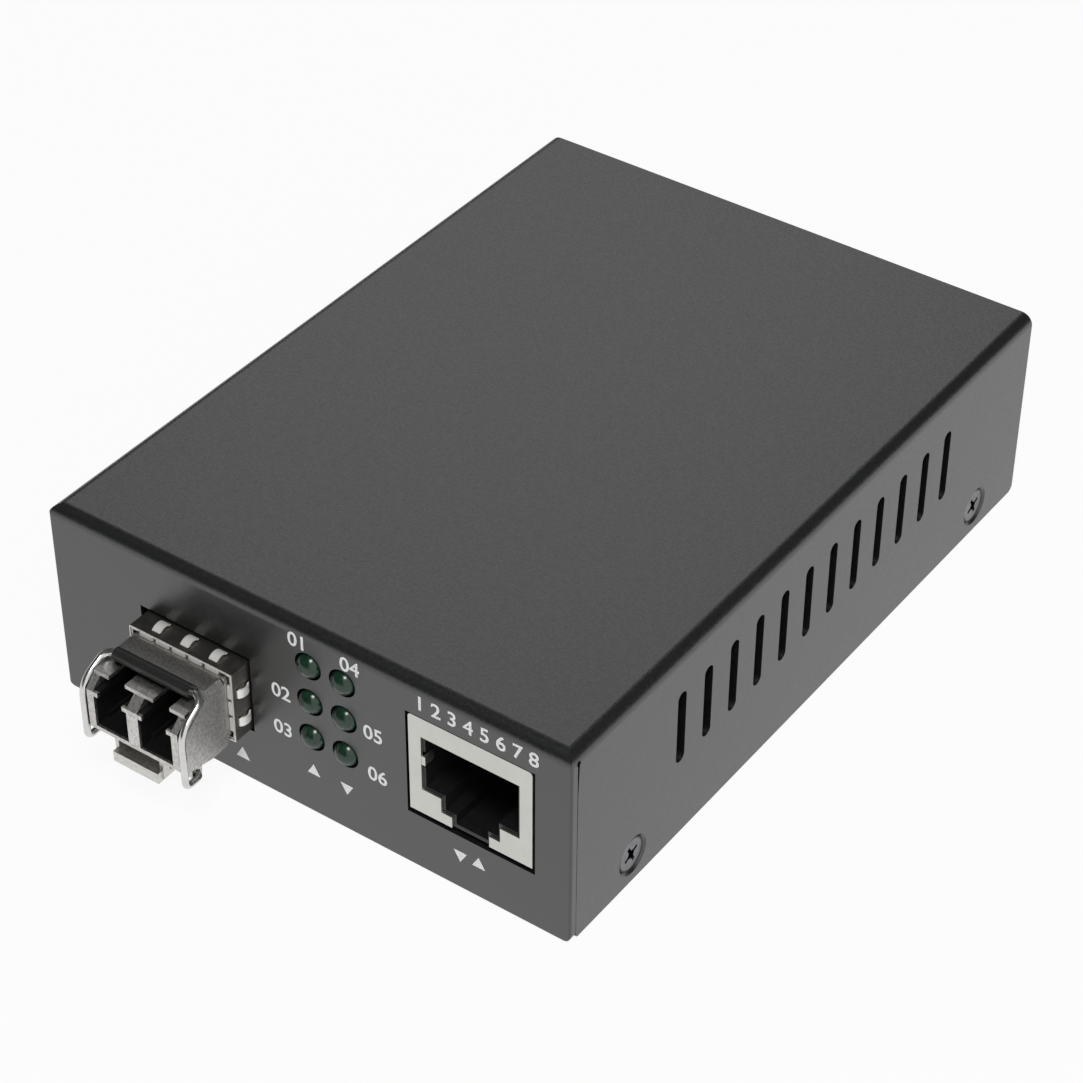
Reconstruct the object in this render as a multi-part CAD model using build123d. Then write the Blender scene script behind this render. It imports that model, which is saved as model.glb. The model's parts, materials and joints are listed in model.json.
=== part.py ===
from build123d import *
import math
import os

os.makedirs("parts", exist_ok=True)

# A small fibre media converter: a folded steel case, a circuit board on standoffs,
# an RJ45 socket, six indicator lamps and a plug-in fibre module in its cage.
# X runs to the right of the front panel, Y to the back, Z up, and the origin is
# the middle of the underside. Sizes are in millimetres.

# Folded case
case_width = 70.0
case_length = 95.0
case_height = 26.3
sheet = 1.0
bend_inner = 0.5
corner_radius = 0.9
side_corner_round = 0.4
edge_round = 0.3
fit_gap = 0.15  # between the cover and the tray
cover_lift = 0.25  # of the cover's lower edges over the desk
tray_side_height = 8.0
seam_low = 0.05  # the slit behind the front panel's edge, at the bottom
seam_middle = 0.1  # where it starts to widen
seam_high = 0.34  # and at the top
seam_taper = 4.5
seam_top_gap = 1.4  # from its top to the lid
relief_radius = 0.32
flange_slit = 0.6

# Vent slots, one row in each side
vent_count = 12
vent_pitch = 5.06
vent_width = 1.6
vent_low = 10.95
vent_top_gap = 5.55
vent_shift = 0.4

# Countersunk screws that hold the cover to the tray
screw_front = 11.5
screw_back = 10.0
screw_height = 3.93
screw_head_radius = 2.15
screw_shank_radius = 1.45
screw_length = 4.0
screw_sink = 0.25
screw_clearance = 0.12
tray_hole_gap = 0.05
tray_seat_flare = 0.2
cross_width = 0.45
cross_length = 2.4
cross_core = 0.5
cross_turn = 25.0
cross_depth = 0.95

# Circuit board on its standoffs
standoff_radius = 2.75
standoff_side = 8.5
standoff_front = 21.0
standoff_back = 9.5
board_thickness = 1.6
board_side_gap = 0.3  # to the tips of the cover screws
board_front_gap = 2.5
board_back_gap = 2.2
board_hole_radius = 1.6
board_screw_radius = 1.4
board_screw_head = 2.6
board_screw_head_height = 1.8
board_screw_floor_gap = 0.8
board_screw_cross = 2.6
board_screw_cross_width = 0.7
board_screw_cross_depth = 0.8

# RJ45 socket
jack_side = 12.75  # its middle, from the right side of the case
jack_half = 7.9
jack_height = 13.65
jack_headroom = 3.5  # under the lid
jack_length = 16.5
jack_lift = 0.25
jack_skin = 0.3
jack_fit = 0.02  # between the shield and the insert
jack_cut_side = 0.35
jack_cut_low = 0.7
jack_cut_high = 0.12
window_half = 6.3
window_low = 3.65
window_high = 11.05
window_step_half = 3.8
window_step_low = 1.7
window_slot_half = 2.4
window_edge = 0.35  # moulded edge that shows inside the window
jack_depth = 12.3
jack_floor = 0.75
ground_tab_low = 7.15
ground_tab_height = 1.2
ground_tab_reach = 0.5
contact_count = 8
contact_pitch = 1.02
contact_width = 0.35
contact_thick = 0.32
contact_drop = 2.05
jack_peg_radius = 0.8
jack_peg_spacing = 11.43
jack_peg_back = 9.0

# Indicator lamps, two columns of three
lamp_radius = 1.55
lamp_hole_radius = 1.75
lamp_rows = 3
lamp_pitch = 5.02
lamp_first = 3.07
lamp_spacing = 4.55
lamp_proud = 1.0
lamp_length = 5.5
lamp_block_side = 2.02
lamp_block_length = 6.5
lamp_block_top = 1.86
lamp_bore_gap = 0.05
lamp_block_gap = 0.2  # behind the panel
lead_thick = 0.5
lead_spacing = 2.54
lead_step = 1.27

# Direct current socket at the back
power_side = 17.0
power_half = 4.5
power_length = 12.9
power_height = 11.0
power_axis = 6.5
power_collar_radius = 4.1
power_bore_radius = 3.15
power_bore_depth = 9.5
power_pin_radius = 1.05
power_pin_back = 0.6
power_leaf_thick = 0.2
power_leaf_half = 0.8
power_leaf_length = 7.0
power_leaf_crest = 5.2
power_leaf_rise = 1.0
power_leaf_lift = 0.1
power_pin_root = 1.5

# Cage for the fibre module
cage_side = 20.55  # its middle, from the left side of the case
cage_half = 7.03
cage_height = 9.25
cage_skin = 0.25
cage_reach = 2.7
cage_length = 49.2
cage_base_end = 6.6
tongue_half = 2.2
tongue_slit = 0.3
tongue_length = 5.6
tongue_lip = 0.7
tongue_lip_drop = 0.35
latch_hole_half = 1.45
latch_hole_gap = 0.12
cage_pin_count = 3
cage_pin_hole = 0.5

# Opening in the front panel round the cage
cage_cut_left = 7.95
cage_cut_right = 7.45
cage_cut_low = 0.55
cage_cut_high = 0.7

# Sprung collar round the cage mouth
collar_skin = 0.12
collar_length = 4.0
collar_open_half = 2.75
finger_rise = 0.5
finger_width = 1.15
finger_pitch = 4.0
finger_front = 0.6
finger_length = 2.05
finger_foot = 0.3
finger_slit = 0.22  # beside each strip
inner_finger_width = 1.75
inner_finger_pitch = 2.3
inner_finger_length = 3.9
inner_finger_bend = 0.2  # how far the folds stand in front of the rim

# Board connector at the back of the cage
plug_half = 6.0
plug_height = 6.2
plug_length = 5.6
plug_back_gap = 0.35
plug_slot_half = 4.9
plug_slot_depth = 4.9
plug_slot_gap = 0.3
plug_contacts = 10
plug_contact_pitch = 0.8
plug_contact_width = 0.3
plug_contact_thick = 0.16

# Fibre module
module_gap_side = 0.18  # to the cage
module_gap_top = 0.18
module_gap_low = 0.15
module_skin = 0.3
nose_reach = 10.9
nose_half = 6.8
nose_gap = 0.75
nose_floor = 1.15
nose_top = 8.25
nose_roof = 8.95
nose_low = -0.15
nose_bar_back = 1.4
roof_front = 5.0
port_pitch = 6.25
port_half = 2.32
port_low = 1.65
port_high = 5.85
port_depth = 8.9
shoulder_half = 1.72
shoulder_high = 6.45
hook_half = 2.4
hook_high = 7.75
hook_depth = 6.2
bar_gap_half = 1.15
bar_gap_depth = 4.2
port_rib = 0.3
module_back = 6.6
tongue_board_half = 4.6
tongue_board_end = 1.6
module_board_half = 5.2
module_board_thick = 1.0
module_board_height = 3.25
module_board_front = 22.0
module_wall = 0.8
cavity_front = 14.2
cavity_floor = 1.25
optic_bore_gap = 0.05
optic_nose_radius = 1.45
optic_ferrule_radius = 0.63
optic_nose_reach = 3.5
optic_can_radius = 2.05
optic_can_length = 7.0
optic_lead = 0.3

# Wire bail with its plastic sleeve
bail_radius = 0.4
bail_half = 6.98
bail_pivot_back = 2.5
bail_pivot_drop = 0.8
bail_end = 5.15
bail_arm_top = 6.9
bail_shoulder_bend = 3.0
bail_bar_bend = 1.4
bail_bar_back = 4.0
bail_bar_height = 9.15
bail_bar_inset = 0.2
bail_crank = 0.47
bail_crank_radius = 0.3
bail_crank_end = 2.7
bail_hole_gap = 0.07
lug_radius = 0.78
lug_inner = 5.5
lug_outer = 6.45
rebate_half = 6.4
rebate_depth = 0.55
rebate_drop = 1.3
sleeve_radius = 0.8
sleeve_length = 10.7
sleeve_gap = 0.02

# Latch lever and its leaf spring
lever_half = 2.6
lever_thick = 0.4
lever_height = 0.45
lever_pivot_back = 7.0
lever_pivot_height = 0.65
lever_pivot_radius = 0.35
lever_pivot_gap = 0.05
lever_pivot_half = 3.4
lever_front = 2.9
lever_end = 13.1
lever_web_end = 4.8
flange_front = 0.5
flange_outer = 3.4
flange_inner = 2.9
flange_drop = 2.3
pocket_half_front = 3.7
pocket_half_back = 2.8
pocket_step = 5.2
pocket_spring = 0.7
pocket_spring_front = 9.1
pocket_gap = 0.4
tip_half = 3.2
tip_reach = 0.2
tip_length = 1.6
tip_low = -2.15
tip_high = -0.75
web_plate_thick = 0.3
web_plate_end = 4.2
boss_front = 10.8
boss_length = 1.8
boss_half = 1.3
boss_drop = 0.4
pin_slot_low = -0.45
pin_slot_high = 0.37
spring_thick = 0.12
spring_half = 1.0

# Parts on the circuit board
magnetics_size = (11.0, 14.0, 5.5)
magnetics_shift = 2.0
magnetics_front = 32.5
magnetics_lead_count = 8
magnetics_lead_pitch = 1.6
chip_size = (10.0, 10.0, 1.2)
chip_behind = 8.0  # its middle, behind the cage
chip_shift = 1.5
chip_lead_count = 8
chip_lead_pitch = 1.1
crystal_length = 11.0
crystal_width = 4.6
crystal_height = 3.6
crystal_beside = 11.0
crystal_flange = 0.4
capacitor_radius = 4.0
capacitor_height = 11.5
capacitor_side = 8.6
capacitor_back = 17.5
capacitor_pitch = 10.0
capacitor_groove = 0.35
choke_size = 10.0
choke_height = 5.0
choke_back = 26.5
choke_side = 25.0
regulator_size = (4.0, 5.0, 1.5)
regulator_back = 15.5
regulator_lead_count = 4
regulator_lead_pitch = 1.27
lead_reach = 1.1
chip_lift = 0.15

# Worked out from the sizes above
half_width = case_width / 2
front = -case_length / 2
back = case_length / 2
wall_inside = half_width - sheet
panel_inside = front + sheet
lid_inside = case_height - sheet
bend_outer = bend_inner + sheet
tray_half = wall_inside - fit_gap
screw_places = (front + screw_front, back - screw_back)
board_top = lid_inside - jack_headroom - jack_height
board_bottom = board_top - board_thickness
board_half = half_width - screw_sink - screw_length - board_side_gap
standoff_places = [
    (side * (half_width - standoff_side), y)
    for side in (-1, 1)
    for y in (front + standoff_front, back - standoff_back)
]
cage_x = cage_side - half_width
cage_mouth = front - cage_reach
cage_end = cage_mouth + cage_length
cage_top = board_top + cage_height
cage_inside = cage_half - cage_skin
plug_end = cage_end - cage_skin - plug_back_gap
jack_x = half_width - jack_side
jack_top = board_top + jack_height
jack_back = front + jack_length
lamp_x = (cage_x + cage_half + jack_x - jack_half) / 2
lamp_columns = (lamp_x - lamp_spacing / 2, lamp_x + lamp_spacing / 2)
lamp_heights = [board_top + lamp_first + row * lamp_pitch for row in range(lamp_rows)]
lamp_block_half = lamp_spacing / 2 + lamp_block_side
lamp_block_front = panel_inside + lamp_block_gap
lamp_seat = front - lamp_proud + lamp_length
power_x = half_width - power_side
power_z = board_top + power_axis
rear_inside = back - sheet
nose_front = front - nose_reach
nose_back = cage_mouth - nose_gap
module_half = cage_inside - module_gap_side
module_top = cage_top - cage_skin - module_gap_top
module_low = board_top + cage_skin + module_gap_low
module_end = cage_end - module_back
core_half = module_half - module_skin
core_top = module_top - module_skin
axis_z = board_top + module_board_height + module_board_thick / 2
port_places = (-port_pitch / 2, port_pitch / 2)
bail_y = nose_front + bail_pivot_back
bail_z = board_top - bail_pivot_drop
lever_y = nose_front + lever_pivot_back
lever_z = board_top + lever_pivot_height
chip_x = lamp_x - chip_shift
chip_y = cage_end + chip_behind


def block(xs, ys, zs):
    middle = Pos((xs[0] + xs[1]) / 2, (ys[0] + ys[1]) / 2, (zs[0] + zs[1]) / 2)
    return middle * Box(xs[1] - xs[0], ys[1] - ys[0], zs[1] - zs[0])


def rod_x(radius, xs, y, z):
    place = Pos((xs[0] + xs[1]) / 2, y, z) * Rot(0, 90, 0)
    return place * Cylinder(radius, xs[1] - xs[0])


def rod_y(radius, x, ys, z):
    place = Pos(x, (ys[0] + ys[1]) / 2, z) * Rot(90, 0, 0)
    return place * Cylinder(radius, ys[1] - ys[0])


def rod_z(radius, x, y, zs):
    return Pos(x, y, (zs[0] + zs[1]) / 2) * Cylinder(radius, zs[1] - zs[0])


def profile_x(points, xs):
    outline = Polyline(*[(xs[0], y, z) for y, z in points], close=True)
    return extrude(make_face(outline), amount=xs[1] - xs[0], dir=(1, 0, 0))


def profile_y(points, ys):
    outline = Polyline(*[(x, ys[0], z) for x, z in points], close=True)
    return extrude(make_face(outline), amount=ys[1] - ys[0], dir=(0, 1, 0))


def both_sides(solid):
    return solid + mirror(solid, Plane.YZ)


def at_cage(solid):
    return Pos(cage_x, 0, 0) * solid


def cover_block(half, y_front, y_back, z_low, z_top, radius):
    """A block whose two top side edges and top front edge are bent round."""
    blank = block((-half, half), (y_front, y_back), (z_low, z_top))
    side_bends = fillet(blank.edges().filter_by(Axis.Y).group_by(Axis.Z)[-1], radius)
    front_edge = blank.edges().filter_by(Axis.X).group_by(Axis.Z)[-1].sort_by(Axis.Y)[0]
    return side_bends & fillet(front_edge, radius)


def tray_block(half, y_front, y_back, z_low, z_top, radius):
    """A block whose two bottom side edges and bottom back edge are bent round."""
    blank = block((-half, half), (y_front, y_back), (z_low, z_top))
    side_bends = fillet(blank.edges().filter_by(Axis.Y).group_by(Axis.Z)[0], radius)
    back_edge = blank.edges().filter_by(Axis.X).group_by(Axis.Z)[0].sort_by(Axis.Y)[-1]
    return side_bends & fillet(back_edge, radius)


def vent_slot(y):
    """One upright slot with round ends, right across the case."""
    radius = vent_width / 2
    across = (-half_width - 1, half_width + 1)
    low_end = vent_low + radius
    high_end = case_height - vent_top_gap - radius
    slot = block(across, (y - radius, y + radius), (low_end, high_end))
    return slot + rod_x(radius, across, y, low_end) + rod_x(radius, across, y, high_end)


def side_cone(outer_radius, inner_radius, x_outer, x_inner, y):
    """A countersink on the right side, its outer end at x_outer."""
    cone = Cone(inner_radius, outer_radius, x_outer - x_inner)
    return Pos((x_outer + x_inner) / 2, y, screw_height) * Rot(0, 90, 0) * cone


def corner_seam():
    """The slit between the front panel's edge and the right side, with its relief hole."""
    top = case_height - seam_top_gap
    through = (wall_inside - bend_outer, half_width + 1)
    slit = [
        (panel_inside, -1),
        (panel_inside + seam_low, -1),
        (panel_inside + seam_middle, top - seam_taper),
        (panel_inside + seam_high, top),
        (panel_inside, top),
    ]
    hole = rod_x(relief_radius, through, panel_inside + seam_high / 2, top)
    return profile_x(slit, through) + hole


def panel_corner():
    """What rounds the front panel's lower right corner."""
    z = cover_lift + corner_radius
    x = half_width - corner_radius
    depth = (front - 1, panel_inside)
    return block((x, half_width + 1), depth, (-1, z)) - rod_y(corner_radius, x, depth, z)


def side_corner():
    """What rounds the right side's lower back corner."""
    z = cover_lift + corner_radius
    y = back - corner_radius
    depth = (wall_inside - 1, half_width + 1)
    return block(depth, (y, back + 1), (-1, z)) - rod_x(corner_radius, depth, y, z)


def side_front_corner():
    """What rounds the right side's lower front corner, behind the slit."""
    z = cover_lift + side_corner_round
    y = panel_inside + seam_low + side_corner_round
    depth = (wall_inside - 1, half_width + 1)
    return block(depth, (panel_inside, y), (-1, z)) - rod_x(side_corner_round, depth, y, z)


def panel_edge():
    """What rounds the front panel's right edge."""
    x = half_width - edge_round
    y = front + edge_round
    height = (-1, case_height + 1)
    return block((x, half_width + 1), (front - 1, y), height) - rod_z(edge_round, x, y, height)


def jack_cutout():
    xs = (jack_x - jack_half - jack_cut_side, jack_x + jack_half + jack_cut_side)
    zs = (board_top + jack_lift - jack_cut_low, jack_top + jack_cut_high)
    return block(xs, (front - 1, panel_inside + 1), zs)


def cage_cutout():
    xs = (cage_x - cage_cut_left, cage_x + cage_cut_right)
    zs = (board_top - cage_cut_low, cage_top + cage_cut_high)
    return block(xs, (front - 1, panel_inside + 1), zs)


def make_top_cover():
    cover = cover_block(half_width, front, back, cover_lift, case_height, bend_outer)
    cover -= cover_block(wall_inside, panel_inside, back + 1, -1, lid_inside, bend_inner)
    cover -= both_sides(corner_seam())
    cover -= both_sides(panel_corner())
    cover -= both_sides(side_corner())
    cover -= both_sides(side_front_corner())
    cover -= both_sides(panel_edge())
    first_vent = vent_shift - (vent_count - 1) * vent_pitch / 2
    cover -= [vent_slot(first_vent + index * vent_pitch) for index in range(vent_count)]
    for y in screw_places:
        wide = screw_head_radius + screw_sink + screw_clearance
        sink = side_cone(wide, wide - sheet, half_width, wall_inside, y)
        cover -= both_sides(sink)
    cover -= jack_cutout()
    cover -= cage_cutout()
    for x in lamp_columns:
        for z in lamp_heights:
            cover -= rod_y(lamp_hole_radius, x, (front - 1, panel_inside + 1), z)
    return cover


def make_base_tray():
    tray_front = panel_inside + fit_gap
    rear_top = lid_inside - fit_gap
    tray = tray_block(tray_half, tray_front, back, 0, rear_top, bend_outer)
    tray -= tray_block(tray_half - sheet, front, rear_inside, sheet, case_height, bend_inner)
    above_sides = block((-half_width, half_width), (front, rear_inside), (tray_side_height, case_height))
    tray -= above_sides
    slit_bottom = sheet + bend_inner
    slit = block(
        (tray_half - sheet - 0.1, half_width),
        (rear_inside - flange_slit, rear_inside),
        (slit_bottom, tray_side_height + 1),
    )
    tray -= both_sides(slit)
    hole_radius = screw_shank_radius + tray_hole_gap
    seat_radius = screw_head_radius + screw_sink + screw_clearance - sheet - fit_gap
    seat_radius = max(seat_radius, hole_radius + tray_seat_flare)
    for y in screw_places:
        bore = rod_x(hole_radius, (tray_half - sheet - 1, tray_half + 1), y, screw_height)
        sink_depth = seat_radius - hole_radius
        sink = side_cone(seat_radius, hole_radius, tray_half, tray_half - sink_depth, y)
        tray -= both_sides(bore + sink)
    collar_hole = power_collar_radius + fit_gap
    tray -= rod_y(collar_hole, power_x, (rear_inside - 1, back + 1), power_z)
    return tray


def make_cover_screws():
    """Four countersunk screws with cross recesses, two in each side."""
    screws = []
    for y in screw_places:
        head_face = half_width - screw_sink
        head_depth = screw_head_radius - screw_shank_radius
        screw = side_cone(screw_head_radius, screw_shank_radius, head_face, head_face - head_depth, y)
        tip = head_face - screw_length
        screw += rod_x(screw_shank_radius, (tip, head_face - head_depth), y, screw_height)
        recess = (head_face - cross_depth, head_face + 1)
        long_half = cross_length / 2
        short_half = cross_width / 2
        cross = block(recess, (-long_half, long_half), (-short_half, short_half))
        cross += block(recess, (-short_half, short_half), (-long_half, long_half))
        cross += rod_x(cross_core, recess, 0, 0)
        screw -= Pos(0, y, screw_height) * Rot(cross_turn, 0, 0) * cross
        screws.append(screw)
        screws.append(mirror(screw, Plane.YZ))
    return Compound(children=screws)


def make_standoffs():
    posts = []
    for x, y in standoff_places:
        post = rod_z(standoff_radius, x, y, (sheet, board_bottom))
        bore_low = sheet + board_screw_floor_gap / 2
        post -= rod_z(board_screw_radius + fit_gap / 2, x, y, (bore_low, board_bottom + 1))
        posts.append(post)
    return Compound(children=posts)


def make_board_screws():
    screws = []
    for x, y in standoff_places:
        head_top = board_top + board_screw_head_height
        head = rod_z(board_screw_head, x, y, (board_top, head_top))
        head = chamfer(head.edges().group_by(Axis.Z)[-1], board_screw_head_height * 0.4)
        long_half = board_screw_cross / 2
        short_half = board_screw_cross_width / 2
        recess = (head_top - board_screw_cross_depth, head_top + 1)
        head -= block((x - long_half, x + long_half), (y - short_half, y + short_half), recess)
        head -= block((x - short_half, x + short_half), (y - long_half, y + long_half), recess)
        screw_low = sheet + board_screw_floor_gap
        screws.append(head + rod_z(board_screw_radius, x, y, (screw_low, board_top)))
    return Compound(children=screws)


def make_circuit_board():
    ys = (panel_inside + board_front_gap, rear_inside - board_back_gap)
    board = block((-board_half, board_half), ys, (board_bottom, board_top))
    for x, y in standoff_places:
        board -= rod_z(board_hole_radius, x, y, (board_bottom - 1, board_top + 1))
    for x, y in cage_pin_places():
        board -= rod_z(cage_pin_hole, x, y, (board_bottom - 1, board_top + 1))
    for x, y in jack_peg_places():
        board -= rod_z(jack_peg_radius + fit_gap / 2, x, y, (board_bottom - 1, board_top + 1))
    return board


def stepped_section(main_half, step_half, slot_half, lows, high):
    """Outline of the RJ45 opening: a wide part, a step and the slot for the plug's clip."""
    main_low, step_low, slot_low = lows
    right = [
        (slot_half, slot_low),
        (slot_half, step_low),
        (step_half, step_low),
        (step_half, main_low),
        (main_half, main_low),
        (main_half, high),
    ]
    left = [(-x, z) for x, z in reversed(right)]
    return [(jack_x + x, board_top + z) for x, z in right + left]


def jack_peg_places():
    """Where the socket's two plastic pegs go into the board."""
    return [(jack_x + side * jack_peg_spacing / 2, front + jack_peg_back) for side in (-1, 1)]


def make_jack_shield():
    outer_xs = (jack_x - jack_half, jack_x + jack_half)
    shield = block(outer_xs, (front, jack_back), (board_top, jack_top))
    shield = fillet(shield.edges().filter_by(Axis.Y).group_by(Axis.Z)[-1], jack_skin * 1.5)
    inner_xs = (outer_xs[0] + jack_skin, outer_xs[1] - jack_skin)
    inner_ys = (front + jack_skin, jack_back - jack_skin)
    shield -= block(inner_xs, inner_ys, (board_top - 1, jack_top - jack_skin))
    overhang = panel_inside + board_front_gap
    shield -= block((outer_xs[0] - 1, outer_xs[1] + 1), (front - 1, overhang), (0, board_top + jack_lift))
    lows = (window_low, window_step_low, -1)
    window = stepped_section(window_half, window_step_half, window_slot_half, lows, window_high)
    shield -= profile_y(window, (front - 1, front + jack_skin))
    tab_x = jack_x - window_half
    tab_zs = (board_top + ground_tab_low, board_top + ground_tab_low + ground_tab_height)
    tab = block((tab_x - 0.2, tab_x + ground_tab_reach), (front + 0.05, front + jack_skin), tab_zs)
    tail = (tab_x + ground_tab_reach - jack_skin, tab_x + ground_tab_reach)
    return shield + tab + block(tail, (front + jack_skin, front + 1.6), tab_zs)


def make_jack_housing():
    gap = jack_skin + jack_fit
    half = jack_half - gap
    xs = (jack_x - half, jack_x + half)
    housing = block(xs, (front + gap, jack_back - gap), (board_top, jack_top - gap))
    overhang = panel_inside + board_front_gap
    housing -= block((xs[0] - 1, xs[1] + 1), (front - 1, overhang), (0, board_top + jack_lift))
    lows = (window_low + window_edge, window_step_low + window_edge, jack_floor)
    halves = [size - window_edge for size in (window_half, window_step_half, window_slot_half)]
    section = stepped_section(*halves, lows, window_high - window_edge / 2)
    housing -= profile_y(section, (front - 1, front + jack_depth))
    tab_x = jack_x - window_half
    tab_low = board_top + ground_tab_low
    notch_zs = (tab_low - 0.5, tab_low + ground_tab_height + 0.5)
    housing -= block((tab_x - 0.35, tab_x + 1), (front, front + 2.0), notch_zs)
    for x, y in jack_peg_places():
        housing += rod_z(jack_peg_radius, x, y, (board_bottom, board_top + 1))
    return housing


def make_jack_contacts():
    """Eight sprung wires that slant from the roof of the socket to its back wall."""
    roof = board_top + window_high - window_edge / 2
    start = front + 2.4
    end = front + jack_depth
    low = roof - contact_drop
    side_view = [
        (start, roof),
        (start + 0.7, roof),
        (end, low),
        (end, low - contact_thick),
        (start + 0.4, roof - contact_thick),
    ]
    wires = []
    for index in range(contact_count):
        x = jack_x + (index - (contact_count - 1) / 2) * contact_pitch
        wires.append(profile_x(side_view, (x - contact_width / 2, x + contact_width / 2)))
    return Compound(children=wires)


def make_lamp_block():
    top = lamp_heights[-1] + lamp_block_top
    ys = (lamp_block_front, lamp_block_front + lamp_block_length)
    holder = block((lamp_x - lamp_block_half, lamp_x + lamp_block_half), ys, (board_top, top))
    for x in lamp_columns:
        for z in lamp_heights:
            holder -= rod_y(lamp_radius + lamp_bore_gap, x, (ys[0] - 1, lamp_seat), z)
            for side in (-1, 1):
                middle = x + side * lead_spacing / 2
                half = lead_thick / 2 + lamp_bore_gap
                holder -= block((middle - half, middle + half), (lamp_seat - 1, ys[1] + 1), (z - half, z + half))
    return holder


def make_lamp(x, z, row):
    """One lamp: a domed body and two leads that turn down to the board."""
    shoulder = front - lamp_proud + lamp_radius
    lamp = rod_y(lamp_radius, x, (shoulder, lamp_seat), z)
    lamp += Pos(x, shoulder, z) * Sphere(lamp_radius)
    block_back = lamp_block_front + lamp_block_length
    turn = block_back + 0.5 + row * lead_step
    half = lead_thick / 2
    for side in (-1, 1):
        middle = x + side * lead_spacing / 2
        xs = (middle - half, middle + half)
        lamp += block(xs, (lamp_seat - 0.1, turn + half), (z - half, z + half))
        lamp += block(xs, (turn - half, turn + half), (board_top, z + half))
    return lamp


def make_power_housing():
    xs = (power_x - power_half, power_x + power_half)
    face = rear_inside - 0.1
    housing = block(xs, (face - power_length, face), (board_top, board_top + power_height))
    housing += rod_y(power_collar_radius, power_x, (face - 1, back), power_z)
    bore_end = back - power_bore_depth
    housing -= rod_y(power_bore_radius, power_x, (bore_end, back + 1), power_z)
    housing -= rod_y(power_pin_radius, power_x, (bore_end - power_pin_root, bore_end + 1), power_z)
    return housing


def make_power_pin():
    tip = back - power_pin_back
    root = back - power_bore_depth - power_pin_root
    pin = rod_y(power_pin_radius, power_x, (root, tip), power_z)
    return chamfer(pin.edges().group_by(Axis.Y)[-1], power_pin_radius * 0.4)


def make_power_leaf():
    """The sprung contact that lies in the lower side of the power socket's bore."""
    wall = power_z - math.sqrt(power_bore_radius**2 - power_leaf_half**2) + power_leaf_lift
    start = back - power_bore_depth
    crest = start + power_leaf_crest
    end = start + power_leaf_length
    upper = [
        (start, wall + power_leaf_rise * 0.8),
        (crest, wall + power_leaf_rise),
        (end, wall + power_leaf_thick),
    ]
    lower = [(y, z - power_leaf_thick) for y, z in reversed(upper)]
    return profile_x(upper + lower, (power_x - power_leaf_half, power_x + power_leaf_half))


def cage_pin_places():
    """Where the cage's press-fit pins go through the board."""
    first = panel_inside + board_front_gap + 3.0
    step = (cage_end - 3.0 - first) / (cage_pin_count - 1)
    side = cage_half - cage_skin / 2
    return [(cage_x + s * side, first + i * step) for s in (-1, 1) for i in range(cage_pin_count)]


def make_cage_shell():
    """Folded cage: roof, two sides and a back wall, open below and in front."""
    shell = block((-cage_half, cage_half), (cage_mouth, cage_end), (board_top, cage_top))
    inside_ys = (cage_mouth - 1, cage_end - cage_skin)
    shell -= block((-cage_inside, cage_inside), inside_ys, (board_top - 1, cage_top - cage_skin))
    shell = at_cage(shell)
    for x, y in cage_pin_places():
        pin = block((x - cage_skin / 2, x + cage_skin / 2), (y - 0.35, y + 0.35), (board_bottom, board_top + 0.5))
        shell += pin
    return shell


def make_cage_base():
    """The cage's floor with the sprung tongue that the module's latch drops into."""
    half = cage_inside - 0.03
    zs = (board_top, board_top + cage_skin)
    base = block((-half, half), (cage_mouth, cage_end - cage_base_end), zs)
    slit = (tongue_half, tongue_half + tongue_slit)
    base -= both_sides(block(slit, (cage_mouth - 1, cage_mouth + tongue_length), (0, case_height)))
    hole_ys = (nose_front + boss_front - latch_hole_gap, nose_front + boss_front + boss_length + 0.2)
    base -= block((-latch_hole_half, latch_hole_half), hole_ys, (0, case_height))
    lip = [
        (cage_mouth, zs[1]),
        (cage_mouth - tongue_lip, zs[1] - tongue_lip_drop),
        (cage_mouth - tongue_lip, zs[0] - tongue_lip_drop),
        (cage_mouth, zs[0]),
    ]
    return at_cage(base + profile_x(lip, (-tongue_half, tongue_half)))


def finger_strip(base):
    """Side outline of a bowed strip whose feet stand in the band, as (length, height) points."""
    start = cage_mouth + finger_front
    end = start + finger_length
    middle = (start + end) / 2
    foot = base - collar_skin
    crest = base + finger_rise
    outer = [(start, base), (middle, crest), (end, base)]
    inner = [(end - finger_foot, foot), (middle, crest - collar_skin), (start + finger_foot, foot)]
    return outer, inner, (end, foot), (start, foot)


def raised_finger(x):
    """A bowed strip that stands up from the collar's top, and the slot under it."""
    outer, inner, end_foot, start_foot = finger_strip(cage_top + collar_skin)
    low = x - finger_width / 2
    upper, lower = [[(low, y, z) for y, z in arc] for arc in (outer, inner)]
    end_corner = (low, *end_foot)
    start_corner = (low, *start_foot)
    edges = [
        ThreePointArc(*upper),
        Polyline(upper[2], end_corner, lower[0]),
        ThreePointArc(*lower),
        Polyline(lower[2], start_corner, upper[0]),
    ]
    strip = extrude(make_face(edges), amount=finger_width, dir=(1, 0, 0))
    slot_zs = (cage_top, cage_top + collar_skin)
    slot_xs = (low - finger_slit, low + finger_width + finger_slit)
    slot = block(slot_xs, (start_foot[0], end_foot[0]), slot_zs)
    return strip, slot


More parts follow.
